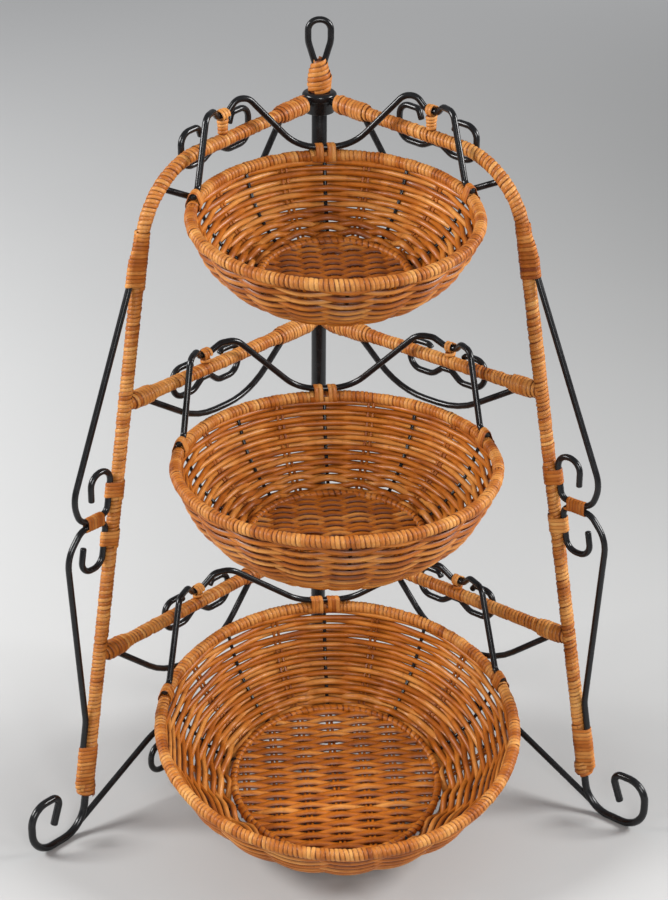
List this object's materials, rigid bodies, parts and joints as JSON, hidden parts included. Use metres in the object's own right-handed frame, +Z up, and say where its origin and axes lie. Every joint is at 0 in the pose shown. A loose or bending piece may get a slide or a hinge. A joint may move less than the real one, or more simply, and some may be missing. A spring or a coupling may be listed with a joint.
{
  "type": "tiered basket stand",
  "caption": "Tiered stand of black wire and rattan-wrapped rods with a carrying loop, scroll feet and round woven baskets hung one above another for fruit or bread.",
  "frame": {"origin": "on the pole's axis at the floor, under the foot plug", "axes": "+Z up along the pole, -Y towards the front that the baskets lean to, +X to the viewer's right"},
  "size_m": [0.5642, 0.4133, 0.6965],
  "materials": {
    "black_wire": "satin black coating",
    "rattan_weave": "varnished honey-brown cane",
    "rattan_wrap": "varnished flat cane strip",
    "rattan_lash": "varnished flat cane strip"
  },
  "bodies": {
    "stand": {"carry_loop": "black_wire", "carry_loop_lashing": "rattan_lash", "centre_pole": "black_wire", "left_floor_brace": "black_wire", "left_floor_scroll": "black_wire", "left_leg_lashings": "rattan_lash", "left_leg_rod": "black_wire", "left_leg_wrap": "rattan_wrap", "left_lower_leg_scroll": "black_wire", "left_lower_rail": "black_wire", "left_lower_rail_scroll": "black_wire", "left_lower_rail_wrap": "rattan_wrap", "left_lower_swag": "black_wire", "left_middle_rail": "black_wire", "left_middle_rail_scroll": "black_wire", "left_middle_rail_wrap": "rattan_wrap", "left_middle_swag": "black_wire", "left_rail_lashings": "rattan_lash", "left_upper_leg_scroll": "black_wire", "left_upper_rail_scroll": "black_wire", "left_upper_swag": "black_wire", "pole_foot_plug": "black_wire", "right_floor_brace": "black_wire", "right_floor_scroll": "black_wire", "right_leg_lashings": "rattan_lash", "right_leg_rod": "black_wire", "right_leg_wrap": "rattan_wrap", "right_lower_leg_scroll": "black_wire", "right_lower_rail": "black_wire", "right_lower_rail_scroll": "black_wire", "right_lower_rail_wrap": "rattan_wrap", "right_lower_swag": "black_wire", "right_middle_rail": "black_wire", "right_middle_rail_scroll": "black_wire", "right_middle_rail_wrap": "rattan_wrap", "right_middle_swag": "black_wire", "right_rail_lashings": "rattan_lash", "right_upper_leg_scroll": "black_wire", "right_upper_rail_scroll": "black_wire", "right_upper_swag": "black_wire", "top_collar": "black_wire"},
    "upper_basket": {"upper_basket_base": "rattan_weave", "upper_basket_hanger": "black_wire", "upper_basket_lashings": "rattan_lash", "upper_basket_ribs": "black_wire", "upper_basket_rim": "rattan_wrap", "upper_basket_wall": "rattan_weave"},
    "middle_basket": {"middle_basket_base": "rattan_weave", "middle_basket_hanger": "black_wire", "middle_basket_lashings": "rattan_lash", "middle_basket_ribs": "black_wire", "middle_basket_rim": "rattan_wrap", "middle_basket_wall": "rattan_weave"},
    "lower_basket": {"lower_basket_base": "rattan_weave", "lower_basket_hanger": "black_wire", "lower_basket_lashings": "rattan_lash", "lower_basket_ribs": "black_wire", "lower_basket_rim": "rattan_wrap", "lower_basket_wall": "rattan_weave"}
  },
  "joints": [
    {"name": "upper_basket_rock", "type": "hinge", "parent": "stand", "child": "upper_basket", "pos_m": [0, -0.09122, 0.63599], "axis": [-1, 0, 0], "range_deg": [0, 6]},
    {"name": "middle_basket_rock", "type": "hinge", "parent": "stand", "child": "middle_basket", "pos_m": [0, -0.11073, 0.4195], "axis": [-1, 0, 0], "range_deg": [0, 6]},
    {"name": "lower_basket_rock", "type": "hinge", "parent": "stand", "child": "lower_basket", "pos_m": [0, -0.12233, 0.186], "axis": [-1, 0, 0], "range_deg": [0, 6]}
  ]
}
